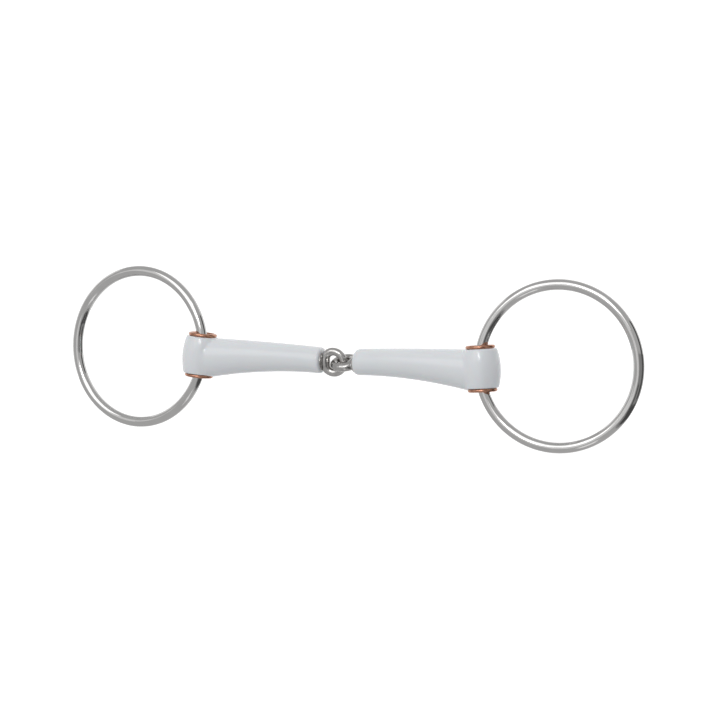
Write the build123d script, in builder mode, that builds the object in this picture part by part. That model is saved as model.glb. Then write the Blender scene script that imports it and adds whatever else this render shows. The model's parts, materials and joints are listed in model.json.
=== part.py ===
from build123d import *
from math import asin, cos, degrees, radians, sin
import os

os.makedirs("parts", exist_ok=True)

# A loose-ring snaffle bit lying flat: X runs along the mouthpiece from the left ring to the right
# ring, Y along the bores that the rings run through, Z up from the table.  The origin is on the
# table under the middle of the bit.  Lengths are millimetres and angles are degrees.

# Rings
mouth_width = 133.4          # clear width between the two ring wires, a 5 1/4 inch bit
ring_outer_diameter = 76.2   # a 3 inch ring
wire_diameter = 4.8          # 3/16 inch round bar
ring_offset = 0.85           # the ring's arc bows past the bore axis by this much at mid bush

# Flanged bushes, one pressed in from each end of the boss
bush_bore_radius = 3.6
bush_tube_radius = 4.5
bush_running_gap = 0.05      # bush to boss, all round and under each flange
bush_half_gap = 0.1          # half the space between the two bush tubes at mid boss
flange_radius = 6.6
flange_thickness = 1.6
mouth_rounding = 0.6         # rounds the bore's mouth so that the curved ring slides

# Plastic sleeves
boss_half_length = 8.7       # from mid boss to the seat of each flange
boss_mid_radius = 8.6
boss_end_radius = 7.3
boss_lean = 5.0              # the bore's +Y end leans towards the centre joint
boss_shift = 0.6             # mid boss lies this far along the bore from the ring's own middle
seat_radius = 7.0            # the arm is cut back to this round each flange
seat_relief = 3.0            # height of that cut
arm_length = 61.65           # from the bore axis to the sleeve's end face
arm_root_half_height = 9.7   # along Y
arm_tip_half_height = 6.0
arm_root_half_thickness = 7.6    # along Z
arm_tip_half_thickness = 6.1
arm_flare = 1.8              # power by which the height grows towards the boss
crest_distance = 41.0        # the arm's centre line is an arc, highest this far from the bore axis
crest_rise = 0.6             # and this far above mid boss there
crest_radius = 406.0
arm_sections = 9
junction_rounding = 1.2      # where the arm runs into the boss

# Steel cores
loop_radius = 6.2
loop_half_length = 8.0
shank_radius = 3.1
shoulder_radius = 4.3
shoulder_depth = 1.5         # inside the sleeve
shoulder_stand = 0.5         # outside the sleeve
eye_reach = 10.4             # from the sleeve's end face to the middle of the bow's bar
eye_radius = 4.95            # to the middle of the bar
eye_bar_radius = 1.8
eye_rise = -0.5              # the core's line lies below mid boss
left_eye_roll = 10.0
right_eye_roll = 24.0        # from edge-on, so that the two eyes cross nearly square

# Worked out from the driving dimensions
wire_radius = wire_diameter / 2
ring_radius = (ring_outer_diameter - wire_diameter) / 2
bush_x = (mouth_width + wire_diameter) / 2 + ring_offset
axis_height = boss_mid_radius
ring_reach = ring_radius - ring_offset
ring_dip = degrees(asin((axis_height - wire_radius) / (ring_reach + ring_radius)))
ring_middle_y = -ring_reach * cos(radians(ring_dip)) * sin(radians(boss_lean))
bush_y = ring_middle_y + boss_shift * cos(radians(boss_lean))
eye_half_height = eye_radius * cos(radians(right_eye_roll)) + eye_bar_radius
arm_sag = asin((axis_height - eye_half_height) / (arm_length + eye_reach - eye_radius))
flange_seat = boss_half_length + bush_running_gap
flange_top = flange_seat + flange_thickness

LEFT = -1
RIGHT = 1
UPPER = 1
LOWER = -1
SIDE_NAMES = {LEFT: "left", RIGHT: "right"}
tip_rounding = {LEFT: 1.5, RIGHT: 2.6}    # round edge of each sleeve's end
END_NAMES = {UPPER: "upper", LOWER: "lower"}


def arm_frame(side):
    """Frame at the bush centre: x runs to the centre joint, y along the bit's Y, z through the arm.

    Both arms sag towards the centre joint, until the right eye stands on the table.
    """
    return Plane(
        origin=(side * bush_x, bush_y, axis_height),
        x_dir=(-side * cos(arm_sag), 0, -sin(arm_sag)),
        z_dir=(sin(arm_sag), 0, -side * cos(arm_sag)),
    )


def bore_direction(side):
    """Direction of the bush bore, towards its +Y end."""
    return Vector(-side * sin(radians(boss_lean)), cos(radians(boss_lean)), 0)


def bore_axis(side):
    return Axis(arm_frame(side).origin, bore_direction(side))


def boss_frame(side):
    """Frame at the bush centre with z along the bore."""
    return Plane(origin=arm_frame(side).origin, x_dir=(0, 0, 1), z_dir=bore_direction(side))


def profile_plane(side):
    """Plane through the bore axis, for profiles with x as the radius and y along the bore."""
    return Plane(
        origin=arm_frame(side).origin,
        x_dir=(0, 0, 1),
        z_dir=Vector(0, 0, 1).cross(bore_direction(side)),
    )


def section_plane(side, distance, rise):
    """Plane across the arm at a distance from the bore axis: x is across the bit, y is its thickness."""
    frame = arm_frame(side)
    centre = frame.from_local_coords(Vector(distance, rise, 0))
    return Plane(origin=centre, x_dir=frame.y_dir, z_dir=frame.x_dir)


def half_height(distance):
    """Least at the sleeve's end face, and growing towards the boss by a power of the way there."""
    growth = (1 - distance / arm_length) ** arm_flare
    return arm_tip_half_height + (arm_root_half_height - arm_tip_half_height) * growth


def half_thickness(distance):
    slope = (arm_root_half_thickness - arm_tip_half_thickness) / arm_length
    return arm_root_half_thickness - slope * distance


def centre_rise(distance):
    """Falls from the crest as the square of the way from it, which is nearly an arc."""
    return crest_rise - (distance - crest_distance) ** 2 / (2 * crest_radius)


def ring_plane(side):
    """The ring's plane holds the bore and dips outwards until the ring's far side meets the table."""
    across = Vector(side * cos(radians(boss_lean)), sin(radians(boss_lean)), 0)
    outward = across * cos(radians(ring_dip)) - Vector(0, 0, 1) * sin(radians(ring_dip))
    middle = arm_frame(side).origin - bore_direction(side) * boss_shift
    centre = middle + outward * ring_reach
    return Plane(origin=centre, x_dir=outward, z_dir=outward.cross(bore_direction(side)) * side)


def eye_plane(side):
    """The eye's plane: the left eye lies nearly flat and the right eye stands nearly on edge."""
    frame = arm_frame(side)
    centre = frame.from_local_coords(Vector(arm_length + eye_reach - eye_radius, eye_rise, 0))
    if side == LEFT:
        roll = radians(left_eye_roll)
        normal = frame.z_dir * cos(roll) - frame.y_dir * sin(roll)
    else:
        roll = radians(right_eye_roll)
        normal = frame.y_dir * cos(roll) - frame.z_dir * sin(roll)
    return Plane(origin=centre, x_dir=frame.x_dir, z_dir=normal)


def build_core(side):
    """Steel core: a loop round the bushes, a shank through the sleeve, a shoulder and an eye."""
    with BuildPart() as core:
        with BuildSketch(boss_frame(side)):
            Circle(loop_radius)
        extrude(amount=loop_half_length, both=True)
        with BuildSketch(section_plane(side, 0, eye_rise)):
            Circle(shank_radius)
        extrude(amount=arm_length)
        with BuildSketch(section_plane(side, arm_length - shoulder_depth, eye_rise)):
            Circle(shoulder_radius)
        extrude(amount=shoulder_depth + shoulder_stand)
        with Locations(eye_plane(side).location):
            Torus(eye_radius, eye_bar_radius)
        with BuildSketch(boss_frame(side)):
            Circle(bush_tube_radius + bush_running_gap)
        extrude(amount=2 * loop_half_length, both=True, mode=Mode.SUBTRACT)
    return core


def build_sleeve(side, core):
    """Plastic sleeve moulded over the core: a tapering oval arm that ends in a barrel-shaped boss."""
    with BuildPart() as sleeve:
        for step in range(arm_sections):
            distance = arm_length * step / (arm_sections - 1)
            with BuildSketch(section_plane(side, distance, centre_rise(distance))):
                Ellipse(half_height(distance), half_thickness(distance))
        loft()
        tip_face = sleeve.faces().sort_by(Axis(arm_frame(side).origin, arm_frame(side).x_dir))[-1]
        fillet(tip_face.edges(), tip_rounding[side])
        for end in (UPPER, LOWER):
            with BuildSketch(boss_frame(side).offset(end * boss_half_length)):
                Circle(seat_radius)
            extrude(amount=end * seat_relief, mode=Mode.SUBTRACT)
        with BuildSketch(profile_plane(side)):
            with BuildLine():
                ThreePointArc(
                    (boss_end_radius, -boss_half_length),
                    (boss_mid_radius, 0),
                    (boss_end_radius, boss_half_length),
                )
                Polyline(
                    (boss_end_radius, boss_half_length),
                    (0, boss_half_length),
                    (0, -boss_half_length),
                    (boss_end_radius, -boss_half_length),
                )
            make_face()
        revolve(axis=bore_axis(side))
        junction = sleeve.edges(Select.NEW).filter_by(lambda edge: edge.length > loop_radius)
        fillet(junction, junction_rounding)
        with BuildSketch(boss_frame(side)):
            Circle(bush_tube_radius + bush_running_gap)
        extrude(amount=2 * boss_half_length, both=True, mode=Mode.SUBTRACT)
        add(core.part, mode=Mode.SUBTRACT)
    return sleeve


def build_bush(side, end):
    """Flanged copper bush: half of the tube through the boss, with a round-rimmed flange outside."""
    bead = flange_thickness / 2
    rim_centre = flange_radius - bead
    with BuildPart() as bush:
        with BuildSketch(profile_plane(side)):
            with BuildLine():
                Polyline(
                    (bush_bore_radius, end * (flange_top - mouth_rounding)),
                    (bush_bore_radius, end * bush_half_gap),
                    (bush_tube_radius, end * bush_half_gap),
                    (bush_tube_radius, end * flange_seat),
                    (rim_centre, end * flange_seat),
                )
                ThreePointArc(
                    (rim_centre, end * flange_seat),
                    (flange_radius, end * (flange_seat + bead)),
                    (rim_centre, end * flange_top),
                )
                Line(
                    (rim_centre, end * flange_top),
                    (bush_bore_radius + mouth_rounding, end * flange_top),
                )
                RadiusArc(
                    (bush_bore_radius + mouth_rounding, end * flange_top),
                    (bush_bore_radius, end * (flange_top - mouth_rounding)),
                    end * -mouth_rounding,
                )
            make_face()
        revolve(axis=bore_axis(side))
    return bush


for side in (LEFT, RIGHT):
    side_name = SIDE_NAMES[side]

    with BuildPart(ring_plane(side)) as ring:
        Torus(ring_radius, wire_radius)
    ring.part.label = f"{side_name}_ring"
    export_step(ring.part, f"parts/{side_name}_ring.step")

    core = build_core(side)
    core.part.label = f"{side_name}_core"
    export_step(core.part, f"parts/{side_name}_core.step")

    sleeve = build_sleeve(side, core)
    sleeve.part.label = f"{side_name}_sleeve"
    export_step(sleeve.part, f"parts/{side_name}_sleeve.step")

    for end in (UPPER, LOWER):
        bush = build_bush(side, end)
        bush.part.label = f"{side_name}_{END_NAMES[end]}_bush"
        export_step(bush.part, f"parts/{side_name}_{END_NAMES[end]}_bush.step")
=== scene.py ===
import json
import math

import bmesh
import bpy
import numpy as np
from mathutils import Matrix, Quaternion, Vector

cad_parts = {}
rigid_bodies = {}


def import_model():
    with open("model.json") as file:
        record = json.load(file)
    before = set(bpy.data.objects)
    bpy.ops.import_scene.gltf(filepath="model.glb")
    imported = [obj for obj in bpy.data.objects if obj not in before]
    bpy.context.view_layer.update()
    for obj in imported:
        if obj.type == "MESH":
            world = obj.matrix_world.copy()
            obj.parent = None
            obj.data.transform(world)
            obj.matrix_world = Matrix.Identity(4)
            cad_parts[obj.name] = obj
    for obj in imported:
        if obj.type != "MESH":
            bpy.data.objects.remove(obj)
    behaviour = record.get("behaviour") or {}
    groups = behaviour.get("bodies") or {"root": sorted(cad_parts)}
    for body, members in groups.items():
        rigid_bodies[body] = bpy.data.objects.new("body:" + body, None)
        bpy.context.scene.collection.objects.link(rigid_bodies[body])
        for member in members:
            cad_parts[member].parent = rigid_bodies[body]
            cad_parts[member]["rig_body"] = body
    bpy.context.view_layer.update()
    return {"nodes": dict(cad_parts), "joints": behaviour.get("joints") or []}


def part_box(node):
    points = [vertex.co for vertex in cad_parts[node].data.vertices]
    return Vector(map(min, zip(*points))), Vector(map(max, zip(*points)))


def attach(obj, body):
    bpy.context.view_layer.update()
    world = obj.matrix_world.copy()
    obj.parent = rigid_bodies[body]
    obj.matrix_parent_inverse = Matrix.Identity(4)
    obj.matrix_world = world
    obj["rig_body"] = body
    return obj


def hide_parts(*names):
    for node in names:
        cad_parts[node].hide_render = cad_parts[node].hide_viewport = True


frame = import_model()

bl_info = {
    "name": "Loose-ring snaffle bit",
    "version": (1, 0, 0),
    "blender": (4, 5, 0),
    "location": "3D View > Sidebar > Snaffle bit",
    "description": "Builds the visible surfaces and finishes of a jointed loose-ring snaffle bit",
    "category": "Object",
}

MM = 0.001
SIDES = ("left", "right")
ENDS = {"upper": 1, "lower": -1}
JOINTS = {joint["name"]: joint for joint in frame["joints"]}
NOISE_MIDDLE = {"From Min": 0.3, "From Max": 0.7}    # most of a noise texture lies between these
RUNNING_GAP = 0.05 * MM    # between a bush and the sleeve or core around it
WELD_DISTANCE = 1e-7    # corners closer than this, in metres, are one
WHITE = (1, 1, 1, 1)
UP = np.array((0.0, 0.0, 1.0))

# Softboxes: width, height, azimuth and elevation in degrees, and radiance
SOFTBOX_DISTANCE = 1.5
SOFTBOXES = {
    "back_softbox": (54, 38, -177, 58, 1.08),
    "back_dish": (16, 8, 160, 67, 7),
    "front_strip": (12, 24, 15, 40, 0.5),
}

# Screens that the steel mirrors: distance in metres, first and last azimuth, first and last
# elevation in degrees, and radiance.  A nearer screen hides those behind it.
SCREENS = {
    "dim_table": (2.4, (-180, 180), (-36, -16), 0.5),
    "pale_table": (2.4, (-180, 180), (-89, -36), 0.9),
    "ceiling": (2.4, (-180, 180), (72, 89), 0.8),
    "side_panel": (2.2, (-150, -96), (38, 77), 0.8),
    "pale_wall": (2.1, (-128, -76), (-62, 2), 0.95),
    "grey_screen": (2.1, (38, 100), (-55, 60), 0.27),
    "dark_screen": (2.0, (42, 60), (-50, 34), 0.08),
    "dark_banner": (2.0, (50, 76), (30, 50), 0.1),
    "dark_table": (2.0, (64, 128), (-34, 2), 0.09),
}
SCREEN_COLUMNS = 13
SCREEN_ROWS = 9
BACKDROP_RADIANCE = 1.02    # just past white, so that the whole background is white


# ---------------------------------------------------------------- places taken from the frame

def side_sign(side):
    """-1 for the left arm and 1 for the right arm, along X."""
    return -1 if side == "left" else 1


def arm_axes(side):
    """Bush centre, and the arm's own axes as the rows of an array.

    Its x runs to the centre joint, its y across the bit and its z through the arm.
    """
    sign = side_sign(side)
    origin = np.array(JOINTS[side + "_ring_swing"]["pos_m"])
    sag = arm_sag()
    axes = np.array([
        (-sign * math.cos(sag), 0, -math.sin(sag)),
        (0, 1, 0),
        (math.sin(sag), 0, -sign * math.cos(sag))])
    return origin, axes


def bore_direction(side):
    """Unit vector along the bore, towards its +Y end."""
    axis = np.array(JOINTS[side + "_ring_swing"]["axis"])
    return axis * np.sign(axis[1])


def arm_sag():
    """Angle by which the arms drop from the bosses to the joint, so that the eyes reach the table."""
    bush = JOINTS["left_ring_swing"]["pos_m"]
    pivot = JOINTS["centre_fold"]["pos_m"]
    return math.atan2(bush[2] - pivot[2], pivot[0] - bush[0])


def pivot_in_arm():
    """The fold's pivot from the left bush centre, along and across the arm."""
    origin, axes = arm_axes("left")
    offset = np.array(JOINTS["centre_fold"]["pos_m"]) - origin
    return axes[0] @ offset, axes[1] @ offset


def box_size(node):
    """Size of the CAD node's box at rest."""
    low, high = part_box(node)
    return high - low


# ---------------------------------------------------------------- colours

def linear(code):
    """sRGB hex code to linear red, green and blue."""
    channels = np.array([int(code[i:i + 2], 16) for i in (1, 3, 5)]) / 255
    low = channels / 12.92
    high = ((channels + 0.055) / 1.055) ** 2.4
    return tuple(np.where(channels <= 0.04045, low, high))


def colour_property(name, description, code):
    """Colour that a user may change, given as an sRGB hex code."""
    return bpy.props.FloatVectorProperty(
        name=name, description=description, subtype="COLOR", size=3, min=0, max=1,
        default=linear(code))


def length_property(name, description, default):
    """Length that a user may change, in metres."""
    return bpy.props.FloatProperty(
        name=name, description=description, default=default, min=0, unit="LENGTH", precision=5)


def angle_property(name, description, degrees):
    """Angle that a user may change, given in degrees."""
    return bpy.props.FloatProperty(
        name=name, description=description, default=math.radians(degrees), subtype="ANGLE")


# ---------------------------------------------------------------- sizes a user would change

class SnaffleRingSizes(bpy.types.PropertyGroup):
    """Both rings"""
    outer_diameter: length_property(
        "Ring outside", "Over the bar of the ring", box_size("left_ring").y)
    bar_diameter: length_property("Ring bar", "Round bar that the ring is bent from", 4.8 * MM)
    colour: colour_property("Ring steel", "Polished stainless bar", "#DCDBDA")


class SnaffleBushSizes(bpy.types.PropertyGroup):
    """All four bushes"""
    bore_radius: length_property("Bore radius", "Inside the bush", 3.6 * MM)
    tube_radius: length_property("Tube radius", "Outside of the bush's tube", 4.5 * MM)
    flange_radius: length_property(
        "Flange radius", "Over the rolled rim", box_size("left_upper_bush").z / 2)
    flange_seat: length_property("Flange seat", "From mid boss to the flange's underside", 8.75 * MM)
    flange_thickness: length_property("Flange thickness", "Across the rolled rim", 1.6 * MM)
    dish_depth: length_property("Dish", "How far the flange's web lies below its rim", 0.5 * MM)
    mouth_rounding: length_property("Mouth rounding", "Edge of the bore in the flange", 0.6 * MM)
    half_gap: length_property("Half gap", "From mid boss to the end of each tube", 0.1 * MM)
    colour: colour_property("Copper", "Bright copper", "#E8B497")
    tarnish: colour_property("Tarnish", "Browned copper where hands do not rub it", "#A9705C")


class SnaffleSleeveSizes(bpy.types.PropertyGroup):
    """Both sleeves"""
    arm_length: length_property(
        "Arm length", "From the bore axis to the sleeve's end", 61.65 * MM)
    boss_half_length: length_property("Boss half length", "From mid boss to a flange", 8.7 * MM)
    boss_mid_radius: length_property(
        "Boss radius", "At the barrel's widest", box_size("left_sleeve").z / 2)
    boss_end_radius: length_property("Boss end radius", "At the flanges", 7.3 * MM)
    seat_radius: length_property("Seat radius", "The arm is cut back to this round a flange", 7.0 * MM)
    root_half_height: length_property("Arm half height, boss end", "Across the bit", 9.7 * MM)
    tip_half_height: length_property("Arm half height, joint end", "Across the bit", 6.0 * MM)
    root_half_thickness: length_property(
        "Arm half thickness, boss end", "Through the arm", 7.6 * MM)
    tip_half_thickness: length_property(
        "Arm half thickness, joint end", "Through the arm", 6.1 * MM)
    flare: bpy.props.FloatProperty(
        name="Flare", description="Power by which the height grows towards the boss", default=1.8)
    crest_distance: length_property(
        "Crest distance", "From the bore axis to the highest point of the centre line", 41.0 * MM)
    crest_rise: length_property("Crest rise", "Of the centre line above mid boss", 0.6 * MM)
    crest_radius: length_property("Crest radius", "Of the centre line's arc", 406.0 * MM)
    left_tip_rounding: length_property("Left end rounding", "Edge of the left sleeve's end", 1.5 * MM)
    right_tip_rounding: length_property(
        "Right end rounding", "Edge of the right sleeve's end", 2.6 * MM)
    junction_blend: length_property("Junction", "Blend of the arm into the boss", 0.7 * MM)
    rim_rounding: length_property("Boss rim rounding", "Edge of the boss beside a flange", 0.5 * MM)
    colour: colour_property("Plastic", "White moulded plastic", "#E9ECEF")
    shade: colour_property("Plastic, dull", "The same plastic where it is rubbed", "#E4E7EB")


class SnaffleCoreSizes(bpy.types.PropertyGroup):
    """Both cores"""
    eye_radius: length_property("Eye radius", "To the middle of the eye's bar", 4.95 * MM)
    eye_bar_radius: length_property("Eye bar radius", "Round bar of the eye at its bow", 1.8 * MM)
    root_growth: length_property(
        "Root growth", "How much the bar's radius grows to the eye's root", 0.7 * MM)
    left_eye_roll: angle_property("Left eye roll", "From lying flat", 10)
    right_eye_roll: angle_property("Right eye roll", "From standing on edge", 24)
    shoulder_radius: length_property("Shoulder radius", "Steel disc at the sleeve's end", 4.3 * MM)
    shoulder_stand: length_property("Shoulder stand", "Out of the sleeve's end", 0.5 * MM)
    shoulder_depth: length_property("Shoulder depth", "Into the sleeve's end", 1.5 * MM)
    shoulder_edge: length_property("Shoulder edge", "Rounding of the shoulder", 0.35 * MM)
    neck_depth: length_property(
        "Neck depth", "Inside the sleeve, where the shank widens to the shoulder", 3 * MM)
    shank_radius: length_property("Shank radius", "Inside the sleeve", 3.1 * MM)
    shank_start: length_property(
        "Shank start", "From the bore axis, within the loop's wall", 4.6 * MM)
    loop_radius: length_property("Loop radius", "Outside the loop round the bushes", 6.2 * MM)
    loop_half_length: length_property("Loop half length", "Along the bore", 8.0 * MM)
    colour: colour_property("Core steel", "Cast and tumbled stainless", "#DCDAD8")


class SnaffleStageSizes(bpy.types.PropertyGroup):
    """Table, backdrop and camera"""
    floor_radius: length_property("Floor radius", "Round pale table", 0.7)
    floor_depth: length_property(
        "Floor depth", "Table below the bit, so that an arm folded down clears it", 160 * MM)
    floor_thickness: length_property("Floor thickness", "Card of the table", 10 * MM)
    room_radius: length_property("Room radius", "White dome behind everything", 3.0)
    floor_colour: colour_property("Floor", "Matt white card", "#F4F4F4")
    aim: bpy.props.FloatVectorProperty(
        name="Aim", description="Point at the middle of the view", subtype="TRANSLATION",
        unit="LENGTH", size=3, precision=5, default=(11.15 * MM, -1.23 * MM, 8.4 * MM))
    camera_distance: length_property("Camera distance", "From the point it aims at", 1.03146)
    camera_azimuth: angle_property("Camera azimuth", "From -Y towards +X", 97.6759)
    camera_elevation: angle_property("Camera elevation", "Above the table", 65.8167)
    camera_roll: angle_property("Camera roll", "About its own line of sight", -95.6386)
    focal_length: bpy.props.FloatProperty(
        name="Lens", description="Focal length on a 36 mm sensor", default=114.18, unit="CAMERA")


# ---------------------------------------------------------------- surfaces as arrays

def grid_faces(rows, columns, wrap_rows):
    """Corners of the quads between neighbouring rows and columns.

    Columns always close on themselves, and rows do if they wrap.
    """
    row = np.arange(rows if wrap_rows else rows - 1)[:, None]
    column = np.arange(columns)[None, :]
    next_row = (row + 1) % rows
    next_column = (column + 1) % columns
    corners = [
        row * columns + column,
        row * columns + next_column,
        next_row * columns + next_column,
        next_row * columns + column,
    ]
    return np.stack(np.broadcast_arrays(*corners), -1).reshape(-1, 4)


def grid_uvs(rows, columns, wrap_rows, row_length, column_length):
    """UV of each quad corner, in metres along the rows and round the columns, so scale is real size."""
    row = np.arange(rows if wrap_rows else rows - 1)[:, None]
    column = np.arange(columns)[None, :]
    steps = ((0, 0), (0, 1), (1, 1), (1, 0))
    spans = rows if wrap_rows else rows - 1
    corners = [
        np.stack(np.broadcast_arrays(
            (row + step_row) * row_length / spans,
            (column + step_column) * column_length / columns), -1)
        for step_row, step_column in steps
    ]
    return np.stack(corners, -2).reshape(-1, 2)


def surface_object(name, points, wrap_rows, poles=None, uv_lengths=None):
    """Closed surface over a grid of points: tubes wrap both ways, other grids end in two poles."""
    rows, columns = points.shape[:2]
    corners = points.reshape(-1, 3)
    faces = grid_faces(rows, columns, wrap_rows).tolist()
    if poles is not None:
        first, last = len(corners), len(corners) + 1
        corners = np.vstack([corners, poles])
        column = np.arange(columns)
        next_column = (column + 1) % columns
        base = (rows - 1) * columns
        faces += np.stack([next_column, column, np.full(columns, first)], -1).tolist()
        faces += np.stack(
            [base + column, base + next_column, np.full(columns, last)], -1).tolist()
    mesh = bpy.data.meshes.new(name)
    mesh.from_pydata(corners, [], faces)
    if uv_lengths is not None:
        layer = mesh.uv_layers.new(name="surface")
        uvs = grid_uvs(rows, columns, wrap_rows, *uv_lengths)
        layer.data.foreach_set("uv", uvs.astype(np.float32).ravel())
    face_outwards(mesh)
    item = bpy.data.objects.new(name, mesh)
    bpy.context.scene.collection.objects.link(item)
    return item


def face_outwards(mesh):
    """Turns every face to point out of the closed surface."""
    work = bmesh.new()
    work.from_mesh(mesh)
    bmesh.ops.remove_doubles(work, verts=work.verts, dist=WELD_DISTANCE)
    bmesh.ops.recalc_face_normals(work, faces=work.faces)
    work.to_mesh(mesh)
    work.free()


def smooth(item, crease_degrees=38):
    """Smooth shading, broken only where two faces meet at a sharper angle than the crease."""
    item.data.shade_smooth()
    item.data.set_sharp_from_angle(angle=math.radians(crease_degrees))


def perpendicular_pair(direction):
    """Two unit vectors square to the direction and to each other.

    They are worked out from Z, or from X for a direction that is nearly along Z.
    """
    helper = np.array((0.0, 0.0, 1.0)) if abs(direction[2]) < 0.9 else np.array((1.0, 0.0, 0.0))
    first = np.cross(helper, direction)
    first /= np.linalg.norm(first)
    return first, np.cross(direction, first)


def ring_tube(name, centre, normal, radius, bar_radius, steps, bar_steps):
    """Round bar bent to a circle.

    Each point is the centre, plus (R + r cos b) outwards in the direction a, plus r sin b along the
    normal, for a round the ring and b round the bar.
    """
    first, second = perpendicular_pair(normal)
    a = np.linspace(0, 2 * math.pi, steps, endpoint=False)[:, None, None]
    b = np.linspace(0, 2 * math.pi, bar_steps, endpoint=False)[None, :, None]
    outward = np.cos(a) * first + np.sin(a) * second
    points = centre + (radius + bar_radius * np.cos(b)) * outward + bar_radius * np.sin(b) * normal
    lengths = (2 * math.pi * radius, 2 * math.pi * bar_radius)
    return surface_object(name, points, True, uv_lengths=lengths)


def forged_eye(name, centre, normal, towards_bow, radius, bar_radius, growth, steps, bar_steps):
    """Ring whose bar thickens from its bow to its root, while its outside stays round.

    The bar's radius is r plus the growth times the eighth power of sin(a / 2), for a round the ring
    from the bow, and the bar's middle lies nearer to the centre by as much as the bar has grown.
    """
    side = np.cross(normal, towards_bow)
    a = np.linspace(0, 2 * math.pi, steps, endpoint=False)[:, None, None]
    b = np.linspace(0, 2 * math.pi, bar_steps, endpoint=False)[None, :, None]
    grown = growth * np.sin(a / 2) ** 8
    bar = bar_radius + grown
    outward = np.cos(a) * towards_bow + np.sin(a) * side
    points = centre + (radius - grown + bar * np.cos(b)) * outward + bar * np.sin(b) * normal
    return surface_object(name, points, True)


def turned(profile, centre, axis, steps):
    """Profile of (radius, height) points carried round the axis.

    Each point is the centre, plus the radius outwards in the direction a, plus the height along the
    axis, for a once round.
    """
    first, second = perpendicular_pair(axis)
    a = np.linspace(0, 2 * math.pi, steps, endpoint=False)[None, :, None]
    outward = np.cos(a) * first + np.sin(a) * second
    radius = profile[:, 0][:, None, None]
    height = profile[:, 1][:, None, None]
    return centre + radius * outward + height * axis


def lathe(name, profile, centre, axis, steps):
    """Closed profile turned once round the axis, which makes a hollow piece."""
    points = turned(profile, centre, axis, steps)
    edges = np.diff(np.vstack([profile, profile[:1]]), axis=0)
    length = np.hypot(edges[:, 0], edges[:, 1]).sum()
    return surface_object(
        name, points, True, uv_lengths=(length, 2 * math.pi * profile[:, 0].max()))


def solid_lathe(name, profile, centre, axis, steps):
    """Open profile turned once round the axis and closed by a pole at each end."""
    points = turned(profile, centre, axis, steps)
    poles = centre + profile[[0, -1], 1][:, None] * axis
    return surface_object(name, points, False, poles=poles)


def arc(centre, radius, start, end, count):
    """Points of (radius, height) along an arc, with angles in degrees."""
    angle = np.radians(np.linspace(start, end, count))
    return np.stack([centre[0] + radius * np.cos(angle), centre[1] + radius * np.sin(angle)], -1)


def combine(item, other, operation):
    """Boolean of two closed surfaces; the second one is used up."""
    change = item.modifiers.new("combine", "BOOLEAN")
    change.operation = operation
    change.solver = "EXACT"
    change.object = other
    graph = bpy.context.evaluated_depsgraph_get()
    result = bpy.data.meshes.new_from_object(item.evaluated_get(graph))
    item.modifiers.clear()
    old = item.data
    item.data = result
    result.name = item.name
    bpy.data.meshes.remove(old)
    bpy.data.meshes.remove(other.data)


# ---------------------------------------------------------------- the sleeve's surface

def smooth_max(a, b, width):
    """The larger of two distances, with the corner between them rounded over the width."""
    share = np.maximum(width - np.abs(a - b), 0) / width
    return np.maximum(a, b) + share * share * width / 4


def smooth_min(a, b, width):
    """The smaller of two distances, with the corner between them rounded over the width."""
    return -smooth_max(-a, -b, width)


def from_bore(x, y, z, bore):
    """Distance along the bore and distance from it."""
    along = x * bore[0] + y * bore[1] + z * bore[2]
    return along, np.sqrt(np.maximum(x * x + y * y + z * z - along * along, 0))


def barrel_radius(along, sizes):
    """The barrel narrows from its middle with the square of the way along the bore."""
    bulge = sizes.boss_mid_radius - sizes.boss_end_radius
    return sizes.boss_mid_radius - bulge * (along / sizes.boss_half_length) ** 2


def boss_field(x, y, z, sizes, bore):
    """Below zero inside the barrel and between its two flat ends."""
    along, radial = from_bore(x, y, z, bore)
    side = radial - barrel_radius(along, sizes)
    return smooth_max(side, np.abs(along) - sizes.boss_half_length, sizes.rim_rounding)


def centre_rise(x, sizes):
    """The arm's centre line falls from its crest with the square of the way from it, nearly an arc."""
    return sizes.crest_rise - (x - sizes.crest_distance) ** 2 / (2 * sizes.crest_radius)


def arm_field(x, y, z, sizes, bore, tip_rounding):
    """Below zero inside the arm, which is oval all along.

    Its height grows towards the boss by a power of the way there, and its thickness grows evenly.
    The arm is cut back round the flanges, where it would stand above the boss's flat ends.
    """
    way = np.clip(x / sizes.arm_length, 0, 1)
    growth = (1 - way) ** sizes.flare
    half_height = sizes.tip_half_height + (sizes.root_half_height - sizes.tip_half_height) * growth
    fall = (sizes.root_half_thickness - sizes.tip_half_thickness) * way
    half_thickness = sizes.root_half_thickness - fall
    oval = np.hypot((y - centre_rise(x, sizes)) / half_height, z / half_thickness) - 1
    side = oval * np.minimum(half_height, half_thickness)
    side = smooth_max(side, x - sizes.arm_length, tip_rounding)
    along, radial = from_bore(x, y, z, bore)
    cut = smooth_min(
        np.abs(along) - sizes.boss_half_length, sizes.seat_radius - radial, sizes.rim_rounding)
    return np.maximum(smooth_max(side, cut, sizes.rim_rounding), -x)


def sleeve_field(x, y, z, sizes, bore, tip_rounding):
    """Below zero inside the boss or the arm, which run into each other with a blend."""
    return smooth_min(
        boss_field(x, y, z, sizes, bore),
        arm_field(x, y, z, sizes, bore, tip_rounding),
        sizes.junction_blend)


def boss_pole(sizes, bore):
    """The barrel's point furthest from the joint, as x and y."""
    fine_steps = 400
    along = np.linspace(-sizes.boss_half_length, 0, fine_steps)
    radius = barrel_radius(along, sizes)
    level = math.hypot(bore[0], bore[1])
    x = along * bore[0] - radius * bore[1] / level
    y = along * bore[1] + radius * bore[0] / level
    best = x.argmin()
    return x[best], y[best]


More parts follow.
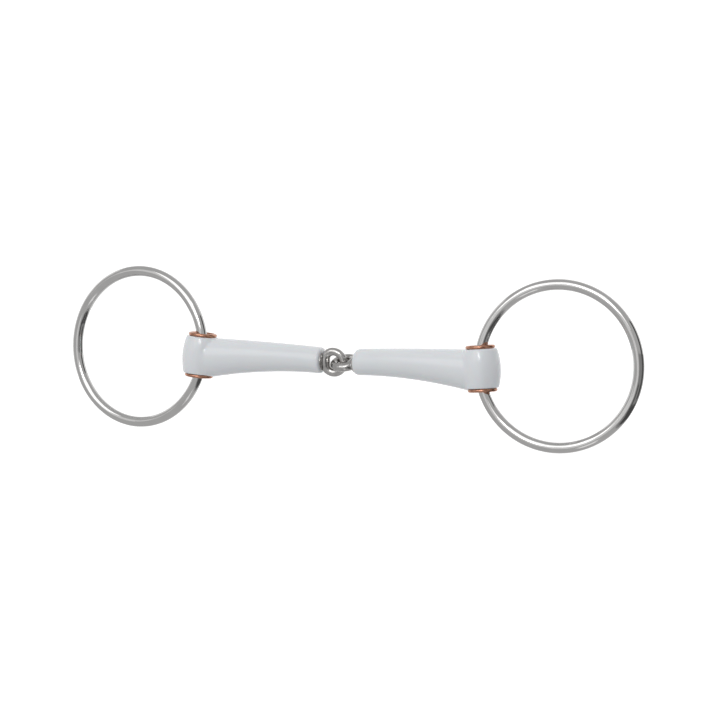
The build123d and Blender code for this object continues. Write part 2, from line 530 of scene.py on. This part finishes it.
def sleeve_stations(sizes, pole_x):
    """Section places along the arm, close together round the boss, the junction and the end.

    They follow the cosine of an angle round the boss and its sine at the end, so that sections crowd
    where the surface curves away, and are evenly spaced between.
    """
    junction_end = 16 * MM
    tip_span = 3 * MM
    boss = pole_x * np.cos(np.radians(np.linspace(4, 90, 44)))
    junction = np.linspace(0, junction_end, 64)[1:]
    bar = np.linspace(junction_end, sizes.arm_length - tip_span, 46)[1:]
    tip = sizes.arm_length - tip_span * (1 - np.sin(np.radians(np.linspace(0, 88, 26))))[1:]
    return np.concatenate([boss, junction, bar, tip])


def sleeve_surface(name, side, sizes):
    """Sections across the arm, each made of rays from the centre line.

    A ray stops where the sleeve's field is zero: short steps find the first place outside, and
    halving the last step finds the surface.
    """
    rays = 240
    step = 0.2 * MM
    most_steps = 80
    halvings = 24
    origin, axes = arm_axes(side)
    bore = axes @ bore_direction(side)
    rounding = sizes.left_tip_rounding if side == "left" else sizes.right_tip_rounding
    pole_x, pole_y = boss_pole(sizes, bore)
    x = sleeve_stations(sizes, pole_x)[:, None]
    angle = np.linspace(0, 2 * math.pi, rays, endpoint=False)[None, :]
    start = centre_rise(0, sizes)
    centre = np.where(x < 0, start + (pole_y - start) * x / pole_x, centre_rise(x, sizes))

    def field(reach):
        return sleeve_field(
            x, centre + reach * np.cos(angle), reach * np.sin(angle), sizes, bore, rounding)

    low = np.zeros(np.broadcast(x, angle).shape)
    outside = np.zeros(low.shape, bool)
    for _ in range(most_steps):
        outside |= field(low + step) > 0
        low = np.where(outside, low, low + step)
    high = low + step
    for _ in range(halvings):
        middle = (low + high) / 2
        inside = field(middle) < 0
        low = np.where(inside, middle, low)
        high = np.where(inside, high, middle)
    local = np.stack(
        [np.broadcast_to(x, low.shape), centre + low * np.cos(angle), low * np.sin(angle)], -1)
    poles = np.array([
        (pole_x, pole_y, 0), (sizes.arm_length, centre_rise(sizes.arm_length, sizes), 0)])
    return surface_object(name, origin + local @ axes, False, poles=origin + poles @ axes)


# ---------------------------------------------------------------- materials

def add_node(tree, kind, inputs=None, **settings):
    """One shader node with its settings.

    The inputs hold a value, or another node's output, for each socket.
    """
    node = tree.nodes.new(kind)
    for name, value in settings.items():
        setattr(node, name, value)
    for socket, value in (inputs or {}).items():
        if isinstance(value, bpy.types.NodeSocket):
            tree.links.new(value, node.inputs[socket])
        else:
            node.inputs[socket].default_value = value
    return node


def new_material(name):
    """Empty material and its node tree."""
    material = bpy.data.materials.new(name)
    material.use_nodes = True
    material.node_tree.nodes.clear()
    return material, material.node_tree


def finish_material(tree, shader):
    """Joins the shader to the material's output."""
    add_node(tree, "ShaderNodeOutputMaterial", {"Surface": shader.outputs["BSDF"]})


def per_metre(millimetres):
    """Noise scale whose features are about this size."""
    return 1 / (millimetres * MM)


MIX_FACTOR, MIX_FIRST, MIX_SECOND = 0, 6, 7    # a Mix node's sockets when it mixes colours
MIX_RESULT = 2


def shades(factor, first, second):
    """Inputs of a Mix node that goes from one colour to the other."""
    return {MIX_FACTOR: factor, MIX_FIRST: (*first, 1), MIX_SECOND: (*second, 1)}


def darkened(colour, share):
    """The colour with each channel cut to this share."""
    return tuple(share * channel for channel in colour)


def glowing_cloth(name, radiance):
    """Screen cloth with an even glow: it reflects nothing, so a dim one looks nearly black."""
    material, tree = new_material(name)
    glow = add_node(tree, "ShaderNodeEmission", {"Color": WHITE, "Strength": radiance})
    add_node(tree, "ShaderNodeOutputMaterial", {"Surface": glow.outputs["Emission"]})
    return material


def buffed_stainless_bar(colour):
    """Drawn stainless bar, bent, welded and buffed on a wheel.

    That gives the eye a mirror with fine lines along the bar and a little haze from handling.
    """
    material, tree = new_material("buffed_stainless_bar")
    surface = add_node(tree, "ShaderNodeUVMap", uv_map="surface").outputs["UV"]
    place = add_node(tree, "ShaderNodeTexCoord").outputs["Object"]
    # handling haze in patches a few millimetres across
    haze = add_node(
        tree, "ShaderNodeTexNoise",
        {"Vector": place, "Scale": per_metre(6), "Detail": 4}).outputs["Fac"]
    # buffing lines along the bar, drawn 0.7 mm apart so that they show; the real ones are finer
    along = add_node(
        tree, "ShaderNodeMapping", {"Vector": surface, "Scale": (0.03, 1, 1)}).outputs["Vector"]
    lines = add_node(
        tree, "ShaderNodeTexNoise",
        {"Vector": along, "Scale": per_metre(0.7), "Detail": 3}).outputs["Fac"]
    # slow ripple left by the bending rolls
    ripple = add_node(
        tree, "ShaderNodeTexNoise",
        {"Vector": surface, "Scale": per_metre(9), "Detail": 1}).outputs["Fac"]
    wave = add_node(
        tree, "ShaderNodeBump",
        {"Height": ripple, "Strength": 0.12, "Distance": 0.4 * MM}).outputs["Normal"]
    bump = add_node(
        tree, "ShaderNodeBump",
        {"Height": lines, "Strength": 0.3, "Distance": 0.12 * MM, "Normal": wave}).outputs["Normal"]
    roughness = add_node(
        tree, "ShaderNodeMapRange",
        {"Value": haze, **NOISE_MIDDLE, "To Min": 0.05, "To Max": 0.12}).outputs["Result"]
    # hazed steel mirrors a little less
    tone = add_node(
        tree, "ShaderNodeMix", shades(haze, darkened(colour, 0.88), colour),
        data_type="RGBA").outputs[MIX_RESULT]
    shader = add_node(
        tree, "ShaderNodeBsdfPrincipled",
        {"Base Color": tone, "Metallic": 1.0, "Roughness": roughness, "Normal": bump})
    finish_material(tree, shader)
    return material


def tumbled_cast_stainless(colour):
    """Investment-cast stainless, tumbled bright.

    That gives the eye an uneven skin that breaks up its reflections, and patches painted darker as
    painted shade.
    """
    material, tree = new_material("tumbled_cast_stainless")
    place = add_node(tree, "ShaderNodeTexCoord").outputs["Object"]
    # a slow swell left by the casting, and a fine skin
    swell = add_node(
        tree, "ShaderNodeTexNoise",
        {"Vector": place, "Scale": per_metre(2), "Detail": 1}).outputs["Fac"]
    skin = add_node(
        tree, "ShaderNodeTexNoise",
        {"Vector": place, "Scale": per_metre(0.5), "Detail": 4}).outputs["Fac"]
    # dull patches where the tumbling stones do not reach, spread at random; the same patches carry a
    # painted shade
    patches = add_node(
        tree, "ShaderNodeTexNoise",
        {"Vector": place, "Scale": per_metre(2.2), "Detail": 3}).outputs["Fac"]
    wave = add_node(
        tree, "ShaderNodeBump",
        {"Height": swell, "Strength": 0.3, "Distance": 0.35 * MM}).outputs["Normal"]
    bump = add_node(
        tree, "ShaderNodeBump",
        {"Height": skin, "Strength": 0.12, "Distance": 0.03 * MM, "Normal": wave}).outputs["Normal"]
    roughness = add_node(
        tree, "ShaderNodeMapRange",
        {"Value": patches, **NOISE_MIDDLE, "To Min": 0.05, "To Max": 0.1}).outputs["Result"]
    # painted shade: the patches are painted at half brightness, to darken the eyes as the shade between
    # them would
    tone = add_node(
        tree, "ShaderNodeMix", shades(patches, darkened(colour, 0.5), colour),
        data_type="RGBA").outputs[MIX_RESULT]
    shader = add_node(
        tree, "ShaderNodeBsdfPrincipled",
        {"Base Color": tone, "Metallic": 1.0, "Roughness": roughness, "Normal": bump})
    finish_material(tree, shader)
    return material


def turned_copper(colour, tarnish):
    """Copper tube with its flange turned over and polished.

    That gives the eye bright warm metal with browned patches.
    """
    material, tree = new_material("turned_copper")
    surface = add_node(tree, "ShaderNodeUVMap", uv_map="surface").outputs["UV"]
    place = add_node(tree, "ShaderNodeTexCoord").outputs["Object"]
    # tarnish in patches about 1.6 mm across
    patches = add_node(
        tree, "ShaderNodeTexNoise",
        {"Vector": place, "Scale": per_metre(1.6), "Detail": 4}).outputs["Fac"]
    # turning marks 0.1 mm apart, running round the flange; from afar they only soften the gloss
    round_flange = add_node(
        tree, "ShaderNodeMapping", {"Vector": surface, "Scale": (1, 0.04, 1)}).outputs["Vector"]
    marks = add_node(
        tree, "ShaderNodeTexNoise",
        {"Vector": round_flange, "Scale": per_metre(0.1), "Detail": 2}).outputs["Fac"]
    bump = add_node(
        tree, "ShaderNodeBump",
        {"Height": marks, "Strength": 0.12, "Distance": 0.02 * MM}).outputs["Normal"]
    roughness = add_node(
        tree, "ShaderNodeMapRange",
        {"Value": patches, **NOISE_MIDDLE, "To Min": 0.1, "To Max": 0.2}).outputs["Result"]
    tone = add_node(
        tree, "ShaderNodeMix", shades(patches, tarnish, colour),
        data_type="RGBA").outputs[MIX_RESULT]
    shader = add_node(
        tree, "ShaderNodeBsdfPrincipled",
        {"Base Color": tone, "Metallic": 1.0, "Roughness": roughness, "Normal": bump})
    finish_material(tree, shader)
    return material


def glossy_moulded_plastic(colour, shade):
    """White plastic moulded in a polished tool.

    That gives the eye an even gloss with faint orange peel and fine scuffs from handling.
    """
    material, tree = new_material("glossy_moulded_plastic")
    place = add_node(tree, "ShaderNodeTexCoord").outputs["Object"]
    # faint clouding of the white, about 14 mm across
    cloud = add_node(
        tree, "ShaderNodeTexNoise",
        {"Vector": place, "Scale": per_metre(14), "Detail": 2}).outputs["Fac"]
    # scuffs run along the bit, where it is wiped
    wiped = add_node(
        tree, "ShaderNodeMapping", {"Vector": place, "Scale": (0.35, 1, 1)}).outputs["Vector"]
    scuffs = add_node(
        tree, "ShaderNodeTexNoise",
        {"Vector": wiped, "Scale": per_metre(0.7), "Detail": 5}).outputs["Fac"]
    # orange peel left by the tool
    peel = add_node(
        tree, "ShaderNodeTexNoise",
        {"Vector": place, "Scale": per_metre(2.2), "Detail": 2}).outputs["Fac"]
    bump = add_node(
        tree, "ShaderNodeBump",
        {"Height": peel, "Strength": 0.1, "Distance": 0.12 * MM}).outputs["Normal"]
    roughness = add_node(
        tree, "ShaderNodeMapRange",
        {"Value": scuffs, **NOISE_MIDDLE, "To Min": 0.08, "To Max": 0.15}).outputs["Result"]
    tone = add_node(
        tree, "ShaderNodeMix", shades(cloud, shade, colour),
        data_type="RGBA").outputs[MIX_RESULT]
    shader = add_node(
        tree, "ShaderNodeBsdfPrincipled",
        {"Base Color": tone, "IOR": 1.5, "Roughness": roughness, "Subsurface Weight": 0.08,
         "Subsurface Scale": 1.2 * MM, "Normal": bump})
    finish_material(tree, shader)
    return material


def matt_white_card(colour):
    """Matt white card that glows a little, so that it stays white under the soft light."""
    material, tree = new_material("matt_white_card")
    shader = add_node(
        tree, "ShaderNodeBsdfPrincipled",
        {"Base Color": (*colour, 1), "Roughness": 0.9, "Specular IOR Level": 0.1,
         "Emission Color": WHITE, "Emission Strength": 0.48})
    finish_material(tree, shader)
    return material


def dress(item, material):
    """The piece is made of this material alone."""
    item.data.materials.clear()
    item.data.materials.append(material)


def direction_to(azimuth, elevation):
    """Unit vector from the bit towards an azimuth, counted from -Y towards +X, and an elevation."""
    level = math.cos(elevation)
    return Vector((math.sin(azimuth) * level, -math.cos(azimuth) * level, math.sin(elevation)))


def place_piece(item, node):
    """The piece stands for its CAD node: it moves with the node's body, and the node is hidden."""
    body = frame["nodes"][node]["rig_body"]
    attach(item, body)
    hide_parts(node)


# ---------------------------------------------------------------- operators

class SNAFFLE_OT_rings(bpy.types.Operator):
    """Two loose rings of round bar"""
    bl_idname = "snaffle.rings"
    bl_label = "Rings"

    def execute(self, context):
        sizes = context.scene.snaffle_ring
        material = buffed_stainless_bar(tuple(sizes.colour))
        bar_radius = sizes.bar_diameter / 2
        radius = sizes.outer_diameter / 2 - bar_radius
        for side in SIDES:
            turn = JOINTS[side + "_ring_turn"]
            ring = ring_tube(
                "ring_" + side, np.array(turn["pos_m"]), np.array(turn["axis"]),
                radius, bar_radius, steps=360, bar_steps=48)
            smooth(ring)
            dress(ring, material)
            place_piece(ring, side + "_ring")
        return {"FINISHED"}


class SNAFFLE_OT_bushes(bpy.types.Operator):
    """Four flanged bushes, two in each boss"""
    bl_idname = "snaffle.bushes"
    bl_label = "Bushes"

    def profile(self, sizes, end):
        """Half of the tube with a dished flange, as radius and height along the bore.

        A rolled rim stands above a web round the bore's mouth.
        """
        bead = sizes.flange_thickness / 2
        top = sizes.flange_seat + sizes.flange_thickness
        web = top - sizes.dish_depth
        mouth = sizes.mouth_rounding
        rim = (sizes.flange_radius - bead, sizes.flange_seat + bead)
        inner = np.array([
            (sizes.bore_radius, sizes.half_gap),
            (sizes.tube_radius, sizes.half_gap),
            (sizes.tube_radius, sizes.flange_seat)])
        rolled = arc(rim, bead, -90, 115, count=22)
        fillet = 0.35 * bead
        dish = arc((rim[0] - 1.1 * bead, web + fillet), fillet, -20, -90, count=5)
        lip = arc((sizes.bore_radius + mouth, web - mouth), mouth, 90, 180, count=9)
        outline = np.vstack([inner, rolled, dish, lip])
        return outline * (1, end)

    def execute(self, context):
        sizes = context.scene.snaffle_bush
        material = turned_copper(tuple(sizes.colour), tuple(sizes.tarnish))
        for side in SIDES:
            centre = arm_axes(side)[0]
            for end_name, end in ENDS.items():
                bush = lathe(
                    f"bush_{side}_{end_name}", self.profile(sizes, end), centre,
                    bore_direction(side), steps=128)
                smooth(bush, crease_degrees=50)
                dress(bush, material)
                place_piece(bush, f"{side}_{end_name}_bush")
        return {"FINISHED"}


class SNAFFLE_OT_sleeves(bpy.types.Operator):
    """Two moulded plastic sleeves"""
    bl_idname = "snaffle.sleeves"
    bl_label = "Sleeves"

    def execute(self, context):
        sizes = context.scene.snaffle_sleeve
        bush = context.scene.snaffle_bush
        material = glossy_moulded_plastic(tuple(sizes.colour), tuple(sizes.shade))
        bore_radius = bush.tube_radius + RUNNING_GAP
        reach = 2 * sizes.boss_half_length
        bore = np.array([(bore_radius, -reach), (bore_radius, 0), (bore_radius, reach)])
        for side in SIDES:
            sleeve = sleeve_surface("sleeve_" + side, side, sizes)
            cutter = solid_lathe(
                "bore_cutter", bore, arm_axes(side)[0], bore_direction(side), steps=96)
            combine(sleeve, cutter, "DIFFERENCE")
            smooth(sleeve)
            dress(sleeve, material)
            place_piece(sleeve, side + "_sleeve")
        return {"FINISHED"}


class SNAFFLE_OT_cores(bpy.types.Operator):
    """Two steel cores, linked by their eyes"""
    bl_idname = "snaffle.cores"
    bl_label = "Cores"

    def eye_normal(self, sizes, side, axes):
        """Across the eye: the left eye lies nearly flat and the right one stands nearly on edge."""
        across, through = axes[1:]
        if side == "left":
            return through * math.cos(sizes.left_eye_roll) - across * math.sin(sizes.left_eye_roll)
        return across * math.cos(sizes.right_eye_roll) - through * math.sin(sizes.right_eye_roll)

    def execute(self, context):
        sizes = context.scene.snaffle_core
        arm = context.scene.snaffle_sleeve
        bush = context.scene.snaffle_bush
        material = tumbled_cast_stainless(tuple(sizes.colour))
        reach, rise = pivot_in_arm()
        face = arm.arm_length
        edge = sizes.shoulder_edge
        top = face + sizes.shoulder_stand
        shoulder = np.vstack([
            (sizes.shank_radius, sizes.shank_start),
            (sizes.shank_radius, face - sizes.neck_depth),
            (sizes.shoulder_radius, face - sizes.shoulder_depth),
            arc((sizes.shoulder_radius - edge, top - edge), edge, 0, 90, count=6)])
        inside = bush.tube_radius + RUNNING_GAP
        loop_profile = np.array([
            (inside, -sizes.loop_half_length), (sizes.loop_radius, -sizes.loop_half_length),
            (sizes.loop_radius, sizes.loop_half_length), (inside, sizes.loop_half_length)])
        for side in SIDES:
            origin, axes = arm_axes(side)
            along = axes[0]
            line = origin + axes[1] * rise
            core = forged_eye(
                "core_" + side, line + along * (reach - sizes.eye_radius),
                self.eye_normal(sizes, side, axes), along,
                sizes.eye_radius, sizes.eye_bar_radius, sizes.root_growth,
                steps=160, bar_steps=48)
            shank = solid_lathe("shank", shoulder, line, along, steps=96)
            combine(core, shank, "UNION")
            loop = lathe("loop", loop_profile, origin, bore_direction(side), steps=96)
            combine(core, loop, "UNION")
            smooth(core)
            dress(core, material)
            place_piece(core, side + "_core")
        return {"FINISHED"}


class SNAFFLE_OT_stage(bpy.types.Operator):
    """Table, soft studio light and camera"""
    bl_idname = "snaffle.stage"
    bl_label = "Stage"

    def floor(self, sizes):
        """Round card that is lit but not mirrored."""
        top = -sizes.floor_depth
        profile = np.array([
            (sizes.floor_radius, top), (sizes.floor_radius, top - sizes.floor_thickness)])
        card = solid_lathe("floor", profile, np.zeros(3), UP, steps=96)
        dress(card, matt_white_card(tuple(sizes.floor_colour)))
        card.visible_glossy = False

    def backdrop(self, sizes):
        """White dome that only the camera sees, from below the table to overhead."""
        profile = arc((0, 0), sizes.room_radius, -40, 89, count=46)
        dome = solid_lathe("backdrop", profile, np.zeros(3), UP, steps=64)
        dress(dome, glowing_cloth("white_backdrop", BACKDROP_RADIANCE))
        for ray in ("diffuse", "glossy", "transmission", "volume_scatter", "shadow"):
            setattr(dome, "visible_" + ray, False)

    def light(self, name, width, height, azimuth, elevation, radiance):
        """Softbox that faces the bit; its width, height and direction are in degrees."""
        distance = SOFTBOX_DISTANCE
        data = bpy.data.lights.new(name, "AREA")
        data.shape = "RECTANGLE"
        data.size = 2 * distance * math.tan(math.radians(width / 2))
        data.size_y = 2 * distance * math.tan(math.radians(height / 2))
        data.energy = radiance * math.pi * data.size * data.size_y
        lamp = bpy.data.objects.new(name, data)
        direction = direction_to(math.radians(azimuth), math.radians(elevation))
        lamp.location = direction * distance
        lamp.rotation_euler = (-direction).to_track_quat("-Z", "Y").to_euler()
        bpy.context.scene.collection.objects.link(lamp)

    def screen(self, name, distance, azimuths, elevations, radiance):
        """Part of a sphere round the bit that the camera does not see.

        Each point is the distance times (sin A cos E, -cos A cos E, sin E), for azimuths A and
        elevations E between the limits, in degrees.
        """
        azimuth = np.radians(np.linspace(*azimuths, SCREEN_COLUMNS))[None, :]
        elevation = np.radians(np.linspace(*elevations, SCREEN_ROWS))[:, None]
        level = np.cos(elevation)
        points = distance * np.stack(np.broadcast_arrays(
            np.sin(azimuth) * level, -np.cos(azimuth) * level, np.sin(elevation)), -1)
        index = np.arange(SCREEN_ROWS * SCREEN_COLUMNS).reshape(SCREEN_ROWS, SCREEN_COLUMNS)
        faces = np.stack([index[:-1, :-1], index[:-1, 1:], index[1:, 1:], index[1:, :-1]], -1)
        mesh = bpy.data.meshes.new(name)
        mesh.from_pydata(points.reshape(-1, 3), [], faces.reshape(-1, 4).tolist())
        screen = bpy.data.objects.new(name, mesh)
        bpy.context.scene.collection.objects.link(screen)
        dress(screen, glowing_cloth(name, radiance))
        screen.visible_camera = False
        screen.visible_shadow = False

    def room(self):
        """Mid grey room, which the polished steel mirrors."""
        world = bpy.data.worlds.new("studio_room")
        world.use_nodes = True
        tree = world.node_tree
        tree.nodes.clear()
        glow = add_node(tree, "ShaderNodeBackground", {"Color": (0.5, 0.5, 0.5, 1), "Strength": 1.0})
        add_node(tree, "ShaderNodeOutputWorld", {"Surface": glow.outputs["Background"]})
        bpy.context.scene.world = world

    def camera(self, sizes):
        """Camera that looks at the aim from its azimuth and elevation, rolled about that line."""
        data = bpy.data.cameras.new("camera")
        data.lens = sizes.focal_length
        data.sensor_width = 36
        data.clip_end = 20
        camera = bpy.data.objects.new("camera", data)
        back = direction_to(sizes.camera_azimuth, sizes.camera_elevation)
        camera.location = Vector(sizes.aim) + back * sizes.camera_distance
        turn = back.to_track_quat("Z", "Y") @ Quaternion((0, 0, 1), sizes.camera_roll)
        camera.rotation_euler = turn.to_euler()
        bpy.context.scene.collection.objects.link(camera)
        bpy.context.scene.camera = camera

    def execute(self, context):
        sizes = context.scene.snaffle_stage
        self.floor(sizes)
        self.backdrop(sizes)
        for name, values in SOFTBOXES.items():
            self.light(name, *values)
        for name, values in SCREENS.items():
            self.screen(name, *values)
        self.room()
        self.camera(sizes)
        context.scene.view_settings.view_transform = "Standard"
        return {"FINISHED"}


class SNAFFLE_PT_panel(bpy.types.Panel):
    """Lists the builders of the bit"""
    bl_label = "Snaffle bit"
    bl_idname = "SNAFFLE_PT_panel"
    bl_space_type = "VIEW_3D"
    bl_region_type = "UI"
    bl_category = "Snaffle bit"

    def draw(self, context):
        column = self.layout.column()
        for operator in OPERATORS:
            column.operator(operator.bl_idname)


OPERATORS = (
    SNAFFLE_OT_rings, SNAFFLE_OT_bushes, SNAFFLE_OT_sleeves, SNAFFLE_OT_cores, SNAFFLE_OT_stage)
GROUPS = {
    "snaffle_ring": SnaffleRingSizes,
    "snaffle_bush": SnaffleBushSizes,
    "snaffle_sleeve": SnaffleSleeveSizes,
    "snaffle_core": SnaffleCoreSizes,
    "snaffle_stage": SnaffleStageSizes,
}


def register():
    """Registers the sizes, the operators and the panel."""
    for group in GROUPS.values():
        bpy.utils.register_class(group)
    for name, group in GROUPS.items():
        setattr(bpy.types.Scene, name, bpy.props.PointerProperty(type=group))
    for operator in OPERATORS:
        bpy.utils.register_class(operator)
    bpy.utils.register_class(SNAFFLE_PT_panel)


def unregister():
    """Takes away what register added."""
    bpy.utils.unregister_class(SNAFFLE_PT_panel)
    for operator in reversed(OPERATORS):
        bpy.utils.unregister_class(operator)
    for name, group in GROUPS.items():
        delattr(bpy.types.Scene, name)
        bpy.utils.unregister_class(group)


def main():
    """Builds the bit and its stage."""
    register()
    bpy.ops.snaffle.rings()
    bpy.ops.snaffle.bushes()
    bpy.ops.snaffle.sleeves()
    bpy.ops.snaffle.cores()
    bpy.ops.snaffle.stage()


if __name__ == "__main__":
    main()
